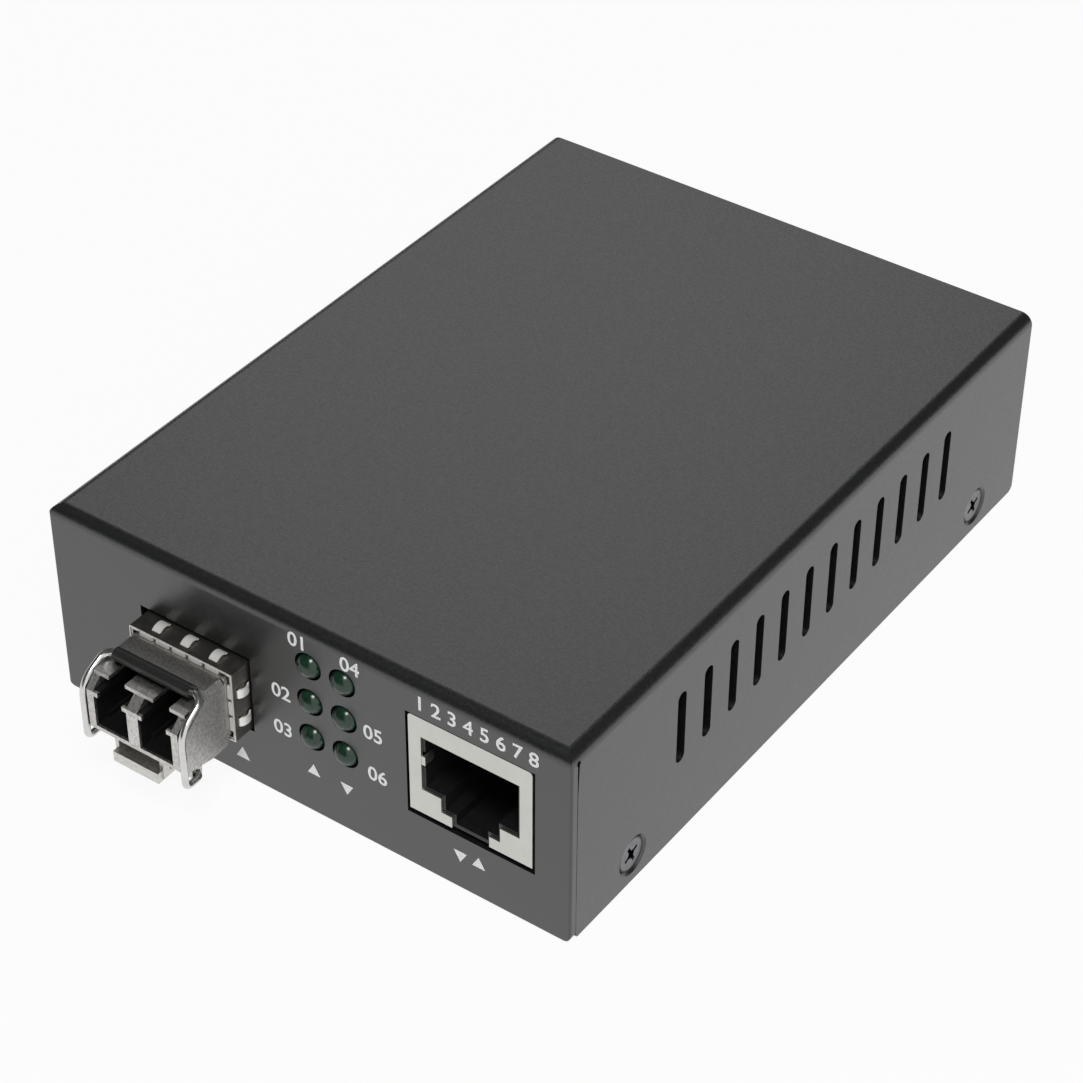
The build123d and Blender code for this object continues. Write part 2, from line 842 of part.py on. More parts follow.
def side_finger(z):
    """The same strip and slot on the collar's right side."""
    outer, inner, end_foot, start_foot = finger_strip(cage_half + collar_skin)
    low = z - finger_width / 2
    upper, lower = [[(x, y, low) for y, x in arc] for arc in (outer, inner)]
    end_corner = (end_foot[1], end_foot[0], low)
    start_corner = (start_foot[1], start_foot[0], low)
    edges = [
        ThreePointArc(*upper),
        Polyline(upper[2], end_corner, lower[0]),
        ThreePointArc(*lower),
        Polyline(lower[2], start_corner, upper[0]),
    ]
    strip = extrude(make_face(edges), amount=finger_width, dir=(0, 0, 1))
    slot_xs = (cage_half, cage_half + collar_skin)
    slot_zs = (low - finger_slit, low + finger_width + finger_slit)
    slot = block(slot_xs, (start_foot[0], end_foot[0]), slot_zs)
    return strip, slot


def make_collar():
    """Sprung collar: a band outside the cage, bowed fingers on it and fingers folded inside."""
    outer = cage_half + collar_skin
    low = board_top - collar_skin
    top = cage_top + collar_skin
    rim = cage_mouth - collar_skin
    fold = rim - inner_finger_bend
    collar = block((-outer, outer), (rim, cage_mouth + collar_length), (low, top))
    collar -= block((-cage_half, cage_half), (rim - 1, back), (board_top, cage_top))
    lining = cage_inside - 0.01 - collar_skin
    roof = cage_top - cage_skin - 0.01 - collar_skin
    floor = board_top + cage_skin + 0.01 + collar_skin
    end = cage_mouth + inner_finger_length
    half = inner_finger_width / 2
    middle = (cage_top + board_top) / 2 + 0.1
    for index in range(-2, 3):
        x = index * inner_finger_pitch
        collar += block((x - half, x + half), (fold, end), (roof, roof + collar_skin))
        collar += block((x - half, x + half), (fold, cage_mouth), (roof, top))
    for index in range(-1, 2):
        zs = (middle + index * inner_finger_pitch - half, middle + index * inner_finger_pitch + half)
        collar += both_sides(block((lining, lining + collar_skin), (fold, end), zs))
        collar += both_sides(block((lining, outer), (fold, cage_mouth), zs))
    low_xs = (collar_open_half + 0.4, lining - 0.4)
    collar += both_sides(block(low_xs, (fold, end), (floor - collar_skin, floor)))
    collar += both_sides(block(low_xs, (fold, cage_mouth), (low, floor)))
    for index in (-1, 0, 1):
        strip, slot = raised_finger(index * finger_pitch)
        collar = collar - slot + strip
    for index in (-1, 1):
        strip, slot = side_finger(middle + index * finger_pitch / 2 - 0.5)
        collar = collar - both_sides(slot) + both_sides(strip)
    mouth_gap = block((-collar_open_half, collar_open_half), (fold - 1, back), (low - 1, floor + 0.1))
    return at_cage(collar - mouth_gap)


def make_board_plug():
    """The connector body that takes the module's board edge."""
    ys = (plug_end - plug_length, plug_end)
    plug = block((-plug_half, plug_half), ys, (board_top, board_top + plug_height))
    half_slot = module_board_thick / 2 + plug_slot_gap
    slot_xs = (-plug_slot_half, plug_slot_half)
    plug -= block(slot_xs, (ys[0] - 1, ys[0] + plug_slot_depth), (axis_z - half_slot, axis_z + half_slot))
    back_slot = (ys[0] + 1, ys[1] + 1)
    plug -= block(slot_xs, back_slot, (axis_z + half_slot - plug_contact_thick, axis_z + half_slot))
    plug -= block(slot_xs, back_slot, (axis_z - half_slot, axis_z - half_slot + plug_contact_thick))
    return at_cage(plug)


def make_plug_contacts():
    """Twenty flat contacts, ten above and ten below the module's board edge."""
    mouth = plug_end - plug_length
    half_slot = module_board_thick / 2 + plug_slot_gap
    half = plug_contact_width / 2
    contacts = []
    for index in range(plug_contacts):
        x = (index - (plug_contacts - 1) / 2) * plug_contact_pitch
        xs = (x - half, x + half)
        upper = (axis_z + half_slot - plug_contact_thick, axis_z + half_slot)
        lower = (axis_z - half_slot, axis_z - half_slot + plug_contact_thick)
        contacts.append(block(xs, (mouth + 0.3, plug_end), upper))
        contacts.append(block(xs, (mouth + 0.3, plug_end), lower))
    return at_cage(Compound(children=contacts))


def port_section(x):
    """Outline of one fibre port, with the slot for the plug's clip and its hooks."""
    right = [
        (port_half, port_low),
        (port_half, port_high),
        (shoulder_half, port_high),
        (shoulder_half, shoulder_high),
    ]
    left = [(-a, z) for a, z in reversed(right)]
    return [(x + a, board_top + z) for a, z in right + left]


def make_port(x):
    """What is cut from the nose for one fibre port."""
    z_shoulder = board_top + shoulder_high
    z_hook = board_top + hook_high
    start = nose_front - 1
    port = profile_y(port_section(x), (start, nose_front + port_depth))
    port += block((x - hook_half, x + hook_half), (start, nose_front + hook_depth), (z_shoulder, z_hook))
    gap_xs = (x - bar_gap_half, x + bar_gap_half)
    port += block(gap_xs, (start, nose_front + bar_gap_depth), (z_hook, board_top + nose_roof + 1))
    rib_xs = (x - port_half, x - port_half + port_rib)
    rib_zs = (board_top + port_low, board_top + port_low + 2 * port_rib)
    port -= block(rib_xs, (nose_front + 1.8, nose_front + port_depth), rib_zs)
    return port


def nose_solid():
    """The module's nose outside the cage, drawn from the side."""
    side_view = [
        (nose_front, board_top + nose_floor),
        (nose_front + 0.5, board_top + nose_floor - 0.5),
        (nose_front + roof_front - 0.3, board_top + nose_low),
        (nose_back, board_top + nose_low),
        (nose_back, board_top + nose_roof),
        (nose_front + roof_front, board_top + nose_roof),
        (nose_front + roof_front - 0.7, board_top + nose_top),
        (nose_front + nose_bar_back, board_top + nose_top),
        (nose_front + nose_bar_back, board_top + nose_top - 0.6),
        (nose_front, board_top + shoulder_high),
    ]
    nose = profile_x(side_view, (-nose_half, nose_half))
    roof_edges = nose.edges().filter_by(Axis.Y).group_by(Axis.Z)[-1]
    return chamfer(roof_edges, 0.7)


def nose_rebate():
    """The right outer corner that is cut back so that the bail can fold round it."""
    arm_y = nose_front + rebate_depth
    side_view = [
        (nose_front - 1, 0),
        (arm_y, 0),
        (arm_y, board_top + bail_arm_top - rebate_drop),
        (nose_front + bail_bar_back - 0.1, board_top + nose_top),
        (nose_front + bail_bar_back - 0.1, case_height),
        (nose_front - 1, case_height),
    ]
    return profile_x(side_view, (rebate_half, half_width))


def make_module_housing():
    """Die-cast body: ports in the nose, a latch pocket below and a trough behind."""
    core = block((-core_half, core_half), (nose_back - 0.1, module_end), (module_low, core_top))
    housing = nose_solid() + core
    for x in port_places:
        housing -= make_port(x)
        bore_radius = optic_nose_radius + optic_bore_gap
        bore_ys = (nose_front + port_depth - 0.5, nose_front + cavity_front + 0.5)
        housing -= rod_y(bore_radius, x, bore_ys, axis_z)
    housing -= both_sides(nose_rebate())
    floor = board_top + cavity_floor
    trough = core_half - module_wall
    split = nose_front + module_board_front - 0.4
    seat = board_top + module_board_height
    housing -= block((-trough, trough), (nose_front + cavity_front, split), (floor, case_height))
    housing -= block((-tongue_board_half, tongue_board_half), (split - 1, back), (floor, case_height))
    housing -= block((-trough, trough), (split - 1, back), (seat, case_height))
    ceiling = board_top + nose_floor
    pocket_end = nose_front + lever_end + pocket_gap
    step_y = nose_front + pocket_step
    housing -= block((-pocket_half_front, pocket_half_front), (nose_front - 1, step_y), (0, ceiling))
    housing -= block((-pocket_half_back, pocket_half_back), (step_y - 1, pocket_end), (0, ceiling))
    spring_ys = (nose_front + pocket_spring_front, pocket_end)
    spring_top = ceiling + pocket_spring
    housing -= block((-pocket_half_back, pocket_half_back), spring_ys, (0, spring_top))
    bore_radius = lever_pivot_radius + lever_pivot_gap
    bore_half = lever_pivot_half + 0.1
    housing -= rod_x(bore_radius, (-bore_half, bore_half), lever_y, lever_z)
    lug = rod_x(lug_radius, (lug_inner, lug_outer), bail_y, bail_z)
    lug_ys = (bail_y - lug_radius, bail_y + lug_radius)
    lug += block((lug_inner, lug_outer), lug_ys, (bail_z, board_top + 0.5))
    housing += both_sides(lug)
    hole = rod_x(bail_radius + bail_hole_gap, (lug_inner - 0.3, lug_outer + 0.3), bail_y, bail_z)
    return at_cage(housing - both_sides(hole))


def make_module_cover():
    """Folded sheet over the module's back part."""
    ys = (nose_back + 0.15, module_end)
    side_low = module_low + 0.45
    cover = block((-module_half, module_half), ys, (side_low, module_top))
    cover = fillet(cover.edges().filter_by(Axis.Y).group_by(Axis.Z)[-1], module_skin * 1.5)
    inside_ys = (ys[0] - 1, ys[1] + 1)
    return at_cage(cover - block((-core_half, core_half), inside_ys, (0, core_top)))


def make_module_board():
    zs = (axis_z - module_board_thick / 2, axis_z + module_board_thick / 2)
    board_ys = (nose_front + module_board_front, module_end - 0.2)
    board = block((-module_board_half, module_board_half), board_ys, zs)
    edge = tongue_board_half - 0.1
    tongue = block((-edge, edge), (board_ys[1] - 1, cage_end - tongue_board_end), zs)
    return at_cage(board + tongue)


def make_optic(x):
    """One optical subassembly: ferrule receptacle, can and four leads onto the board."""
    wall_front = nose_front + port_depth
    wall_back = nose_front + cavity_front
    can_ys = (wall_back, wall_back + optic_can_length)
    optic = rod_y(optic_nose_radius, x, (wall_front - optic_nose_reach, wall_back + 0.5), axis_z)
    optic += rod_y(optic_can_radius, x, can_ys, axis_z)
    optic -= rod_y(optic_ferrule_radius, x, (wall_front - optic_nose_reach - 1, wall_front + 1.5), axis_z)
    half = optic_lead / 2
    height = module_board_thick / 2 + half + 0.02
    for lead_x in (x - 0.8, x + 0.8):
        for lead_z in (axis_z - height, axis_z + height):
            zs = (lead_z - half, lead_z + half)
            optic += block((lead_x - half, lead_x + half), (can_ys[1] - 0.2, can_ys[1] + 2.6), zs)
    return at_cage(optic)


def bent_path(points, radii):
    """Straight lengths joined by bends of the given radii."""
    corners = [Vector(*point) for point in points]
    edges = []
    start = corners[0]
    for before, corner, after, radius in zip(corners, corners[1:], corners[2:], radii):
        arriving = (before - corner).normalized()
        leaving = (after - corner).normalized()
        half_angle = math.radians(arriving.get_angle(leaving) / 2)
        run = radius / math.tan(half_angle)
        bow = radius / math.sin(half_angle) - radius
        bisector = (arriving + leaving).normalized()
        first = corner + arriving * run
        last = corner + leaving * run
        edges.append(Line(start, first))
        edges.append(ThreePointArc(first, corner + bisector * bow, last))
        start = last
    edges.append(Line(start, corners[-1]))
    return Wire(edges)


def make_bail_wire():
    """Bent wire: two hooked arms, a crossbar and cranked ends that work the lever."""
    arm_y = nose_front
    shoulder_z = board_top + bail_arm_top
    bar_y = nose_front + bail_bar_back
    bar_z = board_top + bail_bar_height
    bar_half = bail_half - bail_bar_inset
    right = [
        (bail_end, bail_y, bail_z),
        (bail_half, bail_y, bail_z),
        (bail_half, arm_y, bail_z),
        (bail_half, arm_y, shoulder_z),
        (bar_half, bar_y, bar_z),
    ]
    left = [(-x, y, z) for x, y, z in reversed(right)]
    radii = [0.7, 0.8, bail_shoulder_bend, bail_bar_bend]
    radii += radii[::-1]
    path = bent_path(right + left, radii)
    section = Plane(origin=right[0], z_dir=(1, 0, 0)) * Circle(bail_radius)
    wire = sweep(section, path=path)
    crank_xs = (bail_crank_end, bail_end + 0.15)
    crank = rod_x(bail_crank_radius, crank_xs, bail_y - bail_crank, bail_z)
    web = rod_x(bail_radius, (bail_end - 0.1, bail_end + 0.15), bail_y, bail_z)
    return at_cage(wire + both_sides(crank + web))


def make_bail_sleeve():
    bar_y = nose_front + bail_bar_back
    bar_z = board_top + bail_bar_height
    half = sleeve_length / 2
    sleeve = rod_x(sleeve_radius, (-half, half), bar_y, bar_z)
    return at_cage(sleeve - rod_x(bail_radius + sleeve_gap, (-half - 1, half + 1), bar_y, bar_z))


def make_latch_lever():
    """Stamped lever: plate, two flanges that take the bail's cranks, tip and latch boss."""
    low = board_top + lever_height
    top = low + lever_thick
    plate_ys = (nose_front + lever_front, nose_front + lever_end)
    web_ys = (nose_front + flange_front, nose_front + lever_web_end)
    lever = block((-lever_half, lever_half), plate_ys, (low, top))
    lever += block((-flange_outer, flange_outer), web_ys, (low, top))
    flange = block((flange_inner, flange_outer), web_ys, (low - flange_drop, top))
    slot_low = bail_z + pin_slot_low
    slot_high = bail_z + pin_slot_high
    slot_radius = (slot_high - slot_low) / 2
    slot_z = (slot_low + slot_high) / 2
    slot_ys = (bail_y - bail_crank - slot_radius + 0.25, bail_y + 0.05)
    through = (flange_inner - 0.1, flange_outer + 0.1)
    slot = block(through, slot_ys, (slot_low, slot_high))
    slot += rod_x(slot_radius, through, slot_ys[0], slot_z)
    slot += rod_x(slot_radius, through, slot_ys[1], slot_z)
    lever += both_sides(flange - slot)
    tip_ys = (nose_front - tip_reach, nose_front - tip_reach + tip_length)
    tip_zs = (board_top + tip_low, board_top + tip_high)
    lever += block((-tip_half, tip_half), tip_ys, tip_zs)
    web_zs = (low - flange_drop, low - flange_drop + web_plate_thick)
    lever += block((-flange_outer, flange_outer), (tip_ys[1], nose_front + web_plate_end), web_zs)
    lever += rod_x(lever_pivot_radius, (-lever_pivot_half, lever_pivot_half), lever_y, lever_z)
    boss_y = nose_front + boss_front
    boss = [
        (boss_y, low + 0.1),
        (boss_y, low - boss_drop),
        (boss_y + boss_length - 0.8, low - boss_drop),
        (boss_y + boss_length, low + 0.1),
    ]
    return at_cage(lever + profile_x(boss, (-boss_half, boss_half)))


def make_latch_spring():
    """Leaf spring between the pocket's roof and the lever's back end."""
    roof = board_top + nose_floor + pocket_spring
    lever_top = board_top + lever_height + lever_thick
    start = nose_front + pocket_spring_front + 0.1
    end = nose_front + lever_end - 0.5
    side_view = [
        (start, roof),
        (start + 0.8, roof),
        (end, lever_top + spring_thick + 0.02),
        (end, lever_top + 0.02),
        (start, roof - spring_thick),
    ]
    return at_cage(profile_x(side_view, (-spring_half, spring_half)))


def gull_lead(x_body, x_foot, y, height, width):
    """A flat lead that leaves a chip's side and turns down to the board."""
    low = min(x_body, x_foot)
    high = max(x_body, x_foot)
    outer = x_foot - math.copysign(0.25, x_foot - x_body)
    arm = block((low, high), (y - width / 2, y + width / 2), (height - 0.1, height + 0.1))
    leg_xs = (min(x_foot, outer), max(x_foot, outer))
    return arm + block(leg_xs, (y - width / 2, y + width / 2), (board_top, height))


def make_leaded_chip(x, y, size, leads, pitch):
    """A moulded chip with a row of leads on its left and right sides."""
    width, length, height = size
    zs = (board_top + chip_lift, board_top + chip_lift + height)
    chip = block((x - width / 2, x + width / 2), (y - length / 2, y + length / 2), zs)
    lead_z = board_top + chip_lift + height / 2
    for index in range(leads):
        lead_y = y + (index - (leads - 1) / 2) * pitch
        for side in (-1, 1):
            body_x = x + side * (width / 2 - 0.2)
            foot_x = x + side * (width / 2 + lead_reach)
            chip += gull_lead(body_x, foot_x, lead_y, lead_z, pitch * 0.35)
    return chip


def make_crystal():
    """Crystal in its drawn metal can, lying along the board."""
    place = Pos(chip_x + crystal_beside, chip_y, board_top) * Rot(0, 0, 90)
    can = extrude(place * SlotOverall(crystal_length, crystal_width), amount=crystal_height)
    can = chamfer(can.edges().group_by(Axis.Z)[-1], crystal_flange)
    rim_length = crystal_length + 2 * crystal_flange
    rim_width = crystal_width + 2 * crystal_flange
    return can + extrude(place * SlotOverall(rim_length, rim_width), amount=crystal_flange)


def make_capacitor(x, y):
    """Electrolytic can with its crimped groove and domed seal."""
    can = rod_z(capacitor_radius, x, y, (board_top, board_top + capacitor_height))
    can = chamfer(can.edges(), capacitor_groove)
    ring_z = (board_top + 4 * capacitor_groove, board_top + 6 * capacitor_groove)
    ring = rod_z(capacitor_radius + 1, x, y, ring_z)
    ring -= rod_z(capacitor_radius - capacitor_groove, x, y, (ring_z[0] - 1, ring_z[1] + 1))
    return can - ring


def make_choke():
    """Shielded power inductor: an eight-sided block with a round core."""
    x = choke_side - half_width
    y = back - choke_back
    body = extrude(Pos(x, y, board_top) * Rectangle(choke_size, choke_size), amount=choke_height)
    body = chamfer(body.edges().filter_by(Axis.Z), choke_size * 0.18)
    ring = rod_z(choke_size * 0.4, x, y, (board_top + choke_height - 0.5, board_top + choke_height + 1))
    return body - ring + rod_z(choke_size * 0.34, x, y, (board_top + 1, board_top + choke_height))


nodes = {
    "top_cover": make_top_cover(),
    "base_tray": make_base_tray(),
    "cover_screws": make_cover_screws(),
    "board_standoffs": make_standoffs(),
    "board_screws": make_board_screws(),
    "circuit_board": make_circuit_board(),
    "rj45_shield": make_jack_shield(),
    "rj45_housing": make_jack_housing(),
    "rj45_contacts": make_jack_contacts(),
    "led_holder": make_lamp_block(),
    "dc_jack_housing": make_power_housing(),
    "dc_jack_pin": make_power_pin(),
    "dc_jack_spring": make_power_leaf(),
    "cage_shell": make_cage_shell(),
    "cage_base": make_cage_base(),
    "cage_spring_collar": make_collar(),
    "module_connector": make_board_plug(),
    "module_connector_contacts": make_plug_contacts(),
    "transceiver_housing": make_module_housing(),
    "transceiver_cover": make_module_cover(),
    "transceiver_board": make_module_board(),
    "transmit_subassembly": make_optic(port_places[0]),
    "receive_subassembly": make_optic(port_places[1]),
    "bail_wire": make_bail_wire(),
    "bail_sleeve": make_bail_sleeve(),
    "latch_lever": make_latch_lever(),
    "latch_spring": make_latch_spring(),
    "converter_chip": make_leaded_chip(chip_x, chip_y, chip_size, chip_lead_count, chip_lead_pitch),
    "crystal": make_crystal(),
    "power_inductor": make_choke(),
}

lamp_number = 0
for row, height in reversed(list(enumerate(lamp_heights))):
    for column_x in lamp_columns:
        lamp_number += 1
        nodes[f"led_{lamp_number}"] = make_lamp(column_x, height, row)

magnetics_x = jack_x - magnetics_shift
magnetics_y = front + magnetics_front
nodes["line_transformer"] = make_leaded_chip(
    magnetics_x, magnetics_y, magnetics_size, magnetics_lead_count, magnetics_lead_pitch
)

regulator_x = choke_side - half_width
regulator_y = back - regulator_back
nodes["power_chip"] = make_leaded_chip(
    regulator_x, regulator_y, regulator_size, regulator_lead_count, regulator_lead_pitch
)

capacitor_x = capacitor_side - half_width
for number in range(3):
    capacitor_y = back - capacitor_back - number * capacitor_pitch
    nodes[f"capacitor_{number + 1}"] = make_capacitor(capacitor_x, capacitor_y)

for name, solid in nodes.items():
    export_step(solid, f"parts/{name}.step")
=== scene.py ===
import json
import math

import bmesh
import bpy
from mathutils import Matrix, Vector


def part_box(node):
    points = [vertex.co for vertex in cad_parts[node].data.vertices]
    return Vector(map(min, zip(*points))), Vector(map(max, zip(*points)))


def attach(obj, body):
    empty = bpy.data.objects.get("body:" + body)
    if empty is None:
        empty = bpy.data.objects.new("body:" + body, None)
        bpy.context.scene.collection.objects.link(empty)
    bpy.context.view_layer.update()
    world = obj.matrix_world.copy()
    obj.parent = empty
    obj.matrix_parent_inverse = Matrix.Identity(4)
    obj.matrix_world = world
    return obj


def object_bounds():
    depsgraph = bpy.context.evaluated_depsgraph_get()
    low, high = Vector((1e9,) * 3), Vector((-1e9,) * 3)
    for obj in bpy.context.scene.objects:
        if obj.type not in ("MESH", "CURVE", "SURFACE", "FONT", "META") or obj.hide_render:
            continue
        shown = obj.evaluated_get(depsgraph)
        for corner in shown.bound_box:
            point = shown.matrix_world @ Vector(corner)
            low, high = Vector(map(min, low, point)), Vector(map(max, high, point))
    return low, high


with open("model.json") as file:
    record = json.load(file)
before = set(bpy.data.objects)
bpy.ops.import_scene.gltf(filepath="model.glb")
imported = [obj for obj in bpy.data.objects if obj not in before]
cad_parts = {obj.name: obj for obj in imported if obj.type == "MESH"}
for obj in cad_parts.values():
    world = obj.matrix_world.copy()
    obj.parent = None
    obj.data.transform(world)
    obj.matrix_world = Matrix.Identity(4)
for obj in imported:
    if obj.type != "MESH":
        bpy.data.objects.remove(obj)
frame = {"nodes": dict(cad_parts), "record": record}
cad_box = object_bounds()

MM = 0.001

# Places on the case, in millimetres, in the frame of the solids
panel_face = -47.5
lamp_columns = (1.19, 5.74)
lamp_rows = (21.26, 16.24, 11.22)
jack_middle = 22.25
module_middle = -14.45
nose_face = -58.4
board_face = 8.15
screw_places = (-36.0, 37.5)
screw_height = 3.93

# Where the fibre ports are coloured black, in millimetres: from the nose's face back, between two
# heights over the board, and to each side of the module's middle
black_port_setback = 0.35
black_port_bottom = 1.0
black_port_top = 6.6
black_port_half_width = 5.6

# Edges of the collar that get a painted highlight, in millimetres: in from its outside, and back from
# its rim
bright_strip = 0.42
bright_rim = 0.34

# Radii on a cover screw, in millimetres: painted shade makes it black outside the first, in the
# countersink's gap, and inside the second, in the cross
screw_shade_rim_radius = 1.95
screw_shade_core_radius = 0.6

# Print on the front panel, in millimetres, with the heights of its lines
figure_height = 1.9
figure_share = 0.72  # of the font's size that a figure stands high
stroke_growth = 0.035
print_thickness = 0.02
over_lamps = 24.0
under_lamps = 6.3
over_jack = 23.7
under_jack = 5.0
under_module = 3.3
small_triangle = 1.7
large_triangle = 1.9

# Floor, in millimetres
floor_half_width = 6000
floor_drop = 0.05

# Shares of full white: what the floor shows of it, and the grey of the room
floor_whiteness = 0.93
room_grey = 0.08

# The span of a noise pattern that its colours and its gloss go across
pattern_low = 0.3
pattern_high = 0.7


# Colours, and the one way that a node is added

def linear(hex_colour):
    """The linear colour of an sRGB hex value."""
    channels = []
    for start in (1, 3, 5):
        value = int(hex_colour[start:start + 2], 16) / 255
        low = value / 12.92
        high = ((value + 0.055) / 1.055) ** 2.4
        channels.append(low if value <= 0.04045 else high)
    return (*channels, 1.0)


def add_node(tree, kind, settings, inputs):
    """Adds a node, with its settings, and with a value or a link for each input named."""
    node = tree.nodes.new(kind)
    for name, value in settings.items():
        setattr(node, name, value)
    for name, value in inputs.items():
        if isinstance(value, bpy.types.NodeSocket):
            tree.links.new(value, node.inputs[name])
        else:
            node.inputs[name].default_value = value
    return node


def new_material(name, **inputs):
    """A material with a Principled shader, its sockets set by name."""
    material = bpy.data.materials.new(name)
    material.use_nodes = True
    shader = material.node_tree.nodes["Principled BSDF"]
    for socket, value in inputs.items():
        shader.inputs[socket.replace("_", " ")].default_value = value
    return material, material.node_tree, shader


# Patterns and masks, all fixed to the piece

def pattern(tree, grain, detail=2.0, coarse=0.5):
    """Noise with a grain so many millimetres wide."""
    place = add_node(tree, "ShaderNodeTexCoord", {}, {}).outputs["Object"]
    inputs = {"Vector": place, "Scale": 1 / (grain * MM), "Detail": detail, "Roughness": coarse}
    return add_node(tree, "ShaderNodeTexNoise", {}, inputs).outputs["Fac"]


def grained(tree, shader, dark, light, cloud, gloss=None, relief=None, depth=0.0, strength=0.5):
    """A pattern's two colours, the roughness at its two ends, and its relief in millimetres."""
    ramp = add_node(tree, "ShaderNodeValToRGB", {}, {"Fac": cloud})
    stops = ramp.color_ramp.elements
    for stop, colour, position in zip(stops, (dark, light), (pattern_low, pattern_high)):
        stop.color = linear(colour)
        stop.position = position
    tree.links.new(ramp.outputs["Color"], shader.inputs["Base Color"])
    if gloss:
        inputs = {"Value": cloud, "From Min": pattern_low, "From Max": pattern_high}
        inputs.update({"To Min": gloss[0], "To Max": gloss[1]})
        spread = add_node(tree, "ShaderNodeMapRange", {}, inputs)
        tree.links.new(spread.outputs["Result"], shader.inputs["Roughness"])
    if depth:
        inputs = {"Height": relief or cloud, "Distance": depth * MM, "Strength": strength}
        bump = add_node(tree, "ShaderNodeBump", {}, inputs)
        tree.links.new(bump.outputs["Normal"], shader.inputs["Normal"])


def corners(tree, reach, deep=0.35, shallow=0.85):
    """1 deep in corners and gaps and 0 in the open, looked for within a reach in millimetres: the
    mask with which the materials paint shade.
    """
    near = add_node(tree, "ShaderNodeAmbientOcclusion", {"samples": 8}, {"Distance": reach * MM})
    inputs = {"Value": near.outputs["AO"], "From Min": deep, "From Max": shallow}
    inputs.update({"To Min": 1.0, "To Max": 0.0})
    return add_node(tree, "ShaderNodeMapRange", {}, inputs).outputs["Result"]


def inside_box(tree, low, high):
    """1 between two corners, given in metres, and 0 outside them."""
    place = add_node(tree, "ShaderNodeTexCoord", {}, {}).outputs["Object"]
    split = add_node(tree, "ShaderNodeSeparateXYZ", {}, {"Vector": place})
    inside = 1.0
    for axis, least, most in zip("XYZ", low, high):
        for kind, limit in (("GREATER_THAN", least), ("LESS_THAN", most)):
            inputs = {0: split.outputs[axis], 1: limit}
            test = add_node(tree, "ShaderNodeMath", {"operation": kind}, inputs).outputs[0]
            both = {0: inside, 1: test}
            inside = add_node(tree, "ShaderNodeMath", {"operation": "MULTIPLY"}, both).outputs[0]
    return inside


def paint_over(tree, shader, mask, hex_colour):
    """Another colour over the one that the shader has, where the mask is 1."""
    under = shader.inputs["Base Color"].links[0].from_socket
    # A mix node has its colours at inputs 6 and 7, and their mix at output 2
    inputs = {0: mask, 6: under, 7: linear(hex_colour)}
    layer = add_node(tree, "ShaderNodeMix", {"data_type": "RGBA"}, inputs)
    tree.links.new(layer.outputs[2], shader.inputs["Base Color"])


# Materials, each named for what the real one is; grains and depths are in millimetres

def powder_coat():
    """Powder coat, nearly black in itself and charcoal where it mirrors something bright.

    A satin film, pebbled a third of a millimetre across, with its gloss turned down in gaps as
    painted shade.
    """
    material, tree, shader = new_material("powder_coat", Roughness=0.32, IOR=1.86)
    pebbles = pattern(tree, 0.3, 3.0, 0.6)
    grained(tree, shader, "#0f1011", "#161718", pebbles, gloss=(0.28, 0.38), depth=0.03)
    # Painted shade: less gloss in the corners and gaps that the occlusion mask finds
    inputs = {"Value": corners(tree, 0.5), "To Min": 0.5, "To Max": 0.1}
    painted_gap_shade = add_node(tree, "ShaderNodeMapRange", {}, inputs)
    tree.links.new(painted_gap_shade.outputs["Result"], shader.inputs["Specular IOR Level"])
    return material


def oxide_and_painted_shade():
    """Black oxide on the screws, grey metal with painted shade that makes it black in corners, round
    the rim and in the cross.
    """
    material, tree, shader = new_material("oxide_and_painted_shade", Metallic=0.85, Roughness=0.34)
    grained(tree, shader, "#68686b", "#7c7c7f", pattern(tree, 0.8), depth=0.01, strength=0.4)
    # Painted shade: black in the corners that the occlusion mask finds
    paint_over(tree, shader, corners(tree, 0.7, 0.4, 0.9), "#0c0c0d")
    place = add_node(tree, "ShaderNodeTexCoord", {}, {}).outputs["Object"]
    side = add_node(tree, "ShaderNodeVectorMath", {"operation": "MULTIPLY"}, {0: place, 1: (0, 1, 1)})
    radii = []
    for y in screw_places:
        ends = {0: side.outputs["Vector"], 1: (0, y * MM, screw_height * MM)}
        gap = add_node(tree, "ShaderNodeVectorMath", {"operation": "DISTANCE"}, ends)
        radii.append(gap.outputs["Value"])
    nearest = {0: radii[0], 1: radii[1]}
    radius = add_node(tree, "ShaderNodeMath", {"operation": "MINIMUM"}, nearest).outputs[0]
    # Painted shade: black round the rim, in the countersink's gap, and at the middle of the cross
    for kind, limit in (("GREATER_THAN", screw_shade_rim_radius), ("LESS_THAN", screw_shade_core_radius)):
        inputs = {0: radius, 1: limit * MM}
        black = add_node(tree, "ShaderNodeMath", {"operation": kind}, inputs).outputs[0]
        paint_over(tree, shader, black, "#0c0c0d")
    return material


def plated_metal(name, dark, light, grain, smooth, rough, depth):
    """Thin plate over metal: its colour and its gloss are clouded by what is under it."""
    material, tree, shader = new_material(name, Metallic=1.0, Roughness=rough)
    cloud = pattern(tree, grain, 3.0)
    fine = pattern(tree, grain / 3)
    grained(
        tree, shader, dark, light, cloud,
        gloss=(smooth, rough), relief=fine, depth=depth, strength=0.4)
    return material


